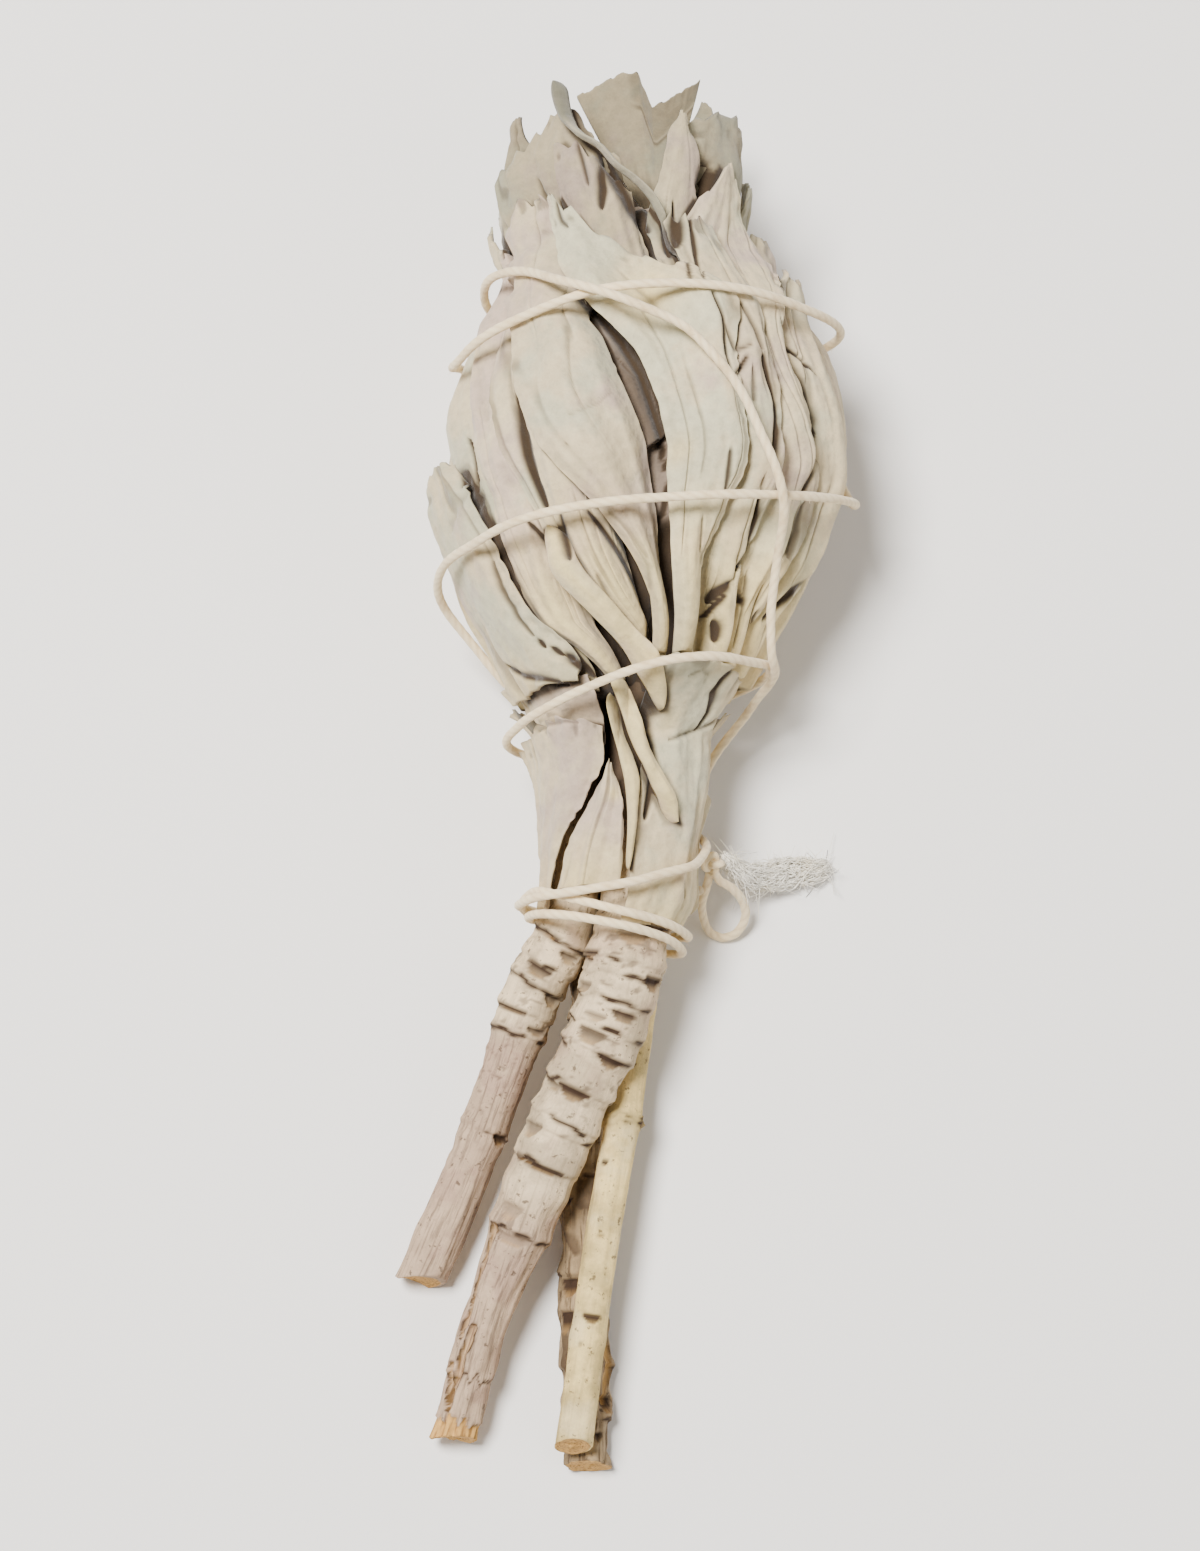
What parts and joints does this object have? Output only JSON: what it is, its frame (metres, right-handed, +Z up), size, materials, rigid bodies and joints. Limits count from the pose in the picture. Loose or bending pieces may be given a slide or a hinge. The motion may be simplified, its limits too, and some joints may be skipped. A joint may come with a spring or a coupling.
{
  "type": "sage bunch",
  "caption": "Bunch of dried grey sage lying down: long felted leaves folded over each other round cut woody stems, wrapped in thin twine with a knot, a small bow and a frayed end.",
  "frame": {"origin": "on the surface that the bunch lies on, under the middle of its box", "axes": "+Y along the bunch towards the leafy top, +Z up, +X to the side with the knot"},
  "size_m": [0.0646, 0.1912, 0.0542],
  "materials": {
    "leaf": "matte, felted",
    "packed_leaves": "matte, felted",
    "leaf_stalk": "matte",
    "woody_stem": "matte, powdery bark",
    "pale_stem": "matte, smooth bark",
    "rough_stem": "matte, flaking bark",
    "twine": "matte, twisted cotton"
  },
  "bodies": {
    "root": {"tuft_leaf_1": "leaf", "tuft_leaf_2": "leaf", "tuft_leaf_3": "leaf", "tuft_leaf_4": "leaf", "tuft_leaf_5": "leaf", "ring_leaf_1": "leaf", "ring_leaf_2": "leaf", "ring_leaf_3": "leaf", "ring_leaf_4": "leaf", "rolled_leaf": "leaf", "ring_leaf_5": "leaf", "ring_leaf_6": "leaf", "folded_tip": "leaf", "rolled_stalk": "leaf_stalk", "under_leaf_1": "leaf", "under_leaf_2": "leaf", "under_leaf_3": "leaf", "under_leaf_4": "leaf", "under_leaf_5": "leaf", "under_leaf_6": "leaf", "under_leaf_7": "leaf", "under_leaf_8": "leaf", "left_leaf_1": "leaf", "left_leaf_2": "leaf", "left_leaf_3": "leaf", "left_leaf_4": "leaf", "right_leaf_1": "leaf", "right_leaf_2": "leaf", "right_leaf_3": "leaf", "right_leaf_4": "leaf", "front_left_leaf": "leaf", "front_right_leaf": "leaf", "left_collar_leaf": "leaf", "left_flank_leaf": "leaf", "neck_leaf_1": "leaf", "neck_leaf_2": "leaf", "neck_leaf_3": "leaf", "neck_leaf_4": "leaf", "neck_leaf_5": "leaf", "neck_leaf_6": "leaf", "leaf_stalk_1": "leaf_stalk", "leaf_stalk_2": "leaf_stalk", "leaf_stalk_3": "leaf_stalk", "back_leaf": "leaf", "packed_middle": "packed_leaves", "main_stem": "woody_stem", "left_stem": "woody_stem", "pale_stem": "pale_stem", "rough_stem": "rough_stem", "twine_binding": "twine", "twine_knot": "twine", "twine_bow": "twine", "twine_frayed_end": "twine"}
  },
  "joints": []
}
